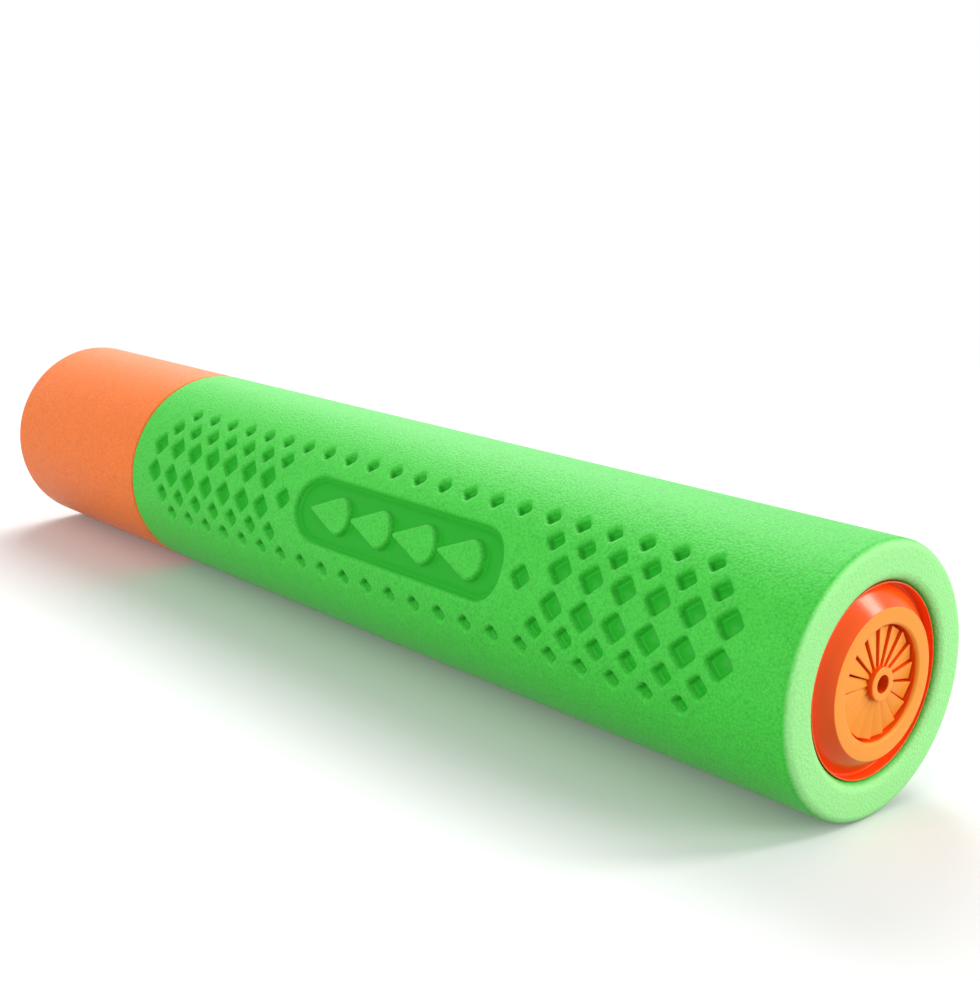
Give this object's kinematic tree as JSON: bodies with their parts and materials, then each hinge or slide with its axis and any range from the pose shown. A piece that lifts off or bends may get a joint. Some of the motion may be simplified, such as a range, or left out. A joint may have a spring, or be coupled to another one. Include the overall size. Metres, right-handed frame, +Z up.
{
  "type": "foam water squirter",
  "caption": "Round foam-sleeved pump squirter: a plunger with a foam handle is pulled to fill the barrel and pushed to squirt through a fan-faced nozzle.",
  "frame": {"origin": "on the ground, under the middle of the whole length, with the squirter lying on its side and its plunger pushed home", "axes": "+X along the barrel towards the nozzle, +Z up, -Y towards the side whose pressed pattern is in the picture"},
  "size_m": [0.338, 0.06, 0.06],
  "materials": {
    "foam_green": "matte",
    "foam_orange": "matte",
    "plastic_white": "satin",
    "plastic_orange": "gloss",
    "seal_rubber": "matte",
    "screw_steel": "satin"
  },
  "bodies": {
    "barrel": {"foam_sleeve": "foam_green", "barrel_tube": "plastic_white", "nozzle_cap": "plastic_orange", "nozzle_fan": "plastic_orange", "nozzle_gasket": "seal_rubber", "rear_collar": "plastic_white"},
    "seal": {"piston_oring": "seal_rubber"},
    "plunger": {"piston_head": "plastic_white", "piston_screw": "screw_steel", "plunger_rod": "plastic_white", "handle_core": "plastic_white", "handle_screw": "screw_steel", "handle_grip": "foam_orange", "handle_end_cap": "plastic_white"}
  },
  "joints": [
    {"name": "plunger_slide", "type": "slide", "parent": "barrel", "child": "seal", "axis": [-1, 0, 0], "range_m": [0, 0.21995]},
    {"name": "plunger_spin", "type": "hinge", "parent": "seal", "child": "plunger", "pos_m": [0, 0, 0.03], "axis": [1, 0, 0], "continuous": true}
  ]
}
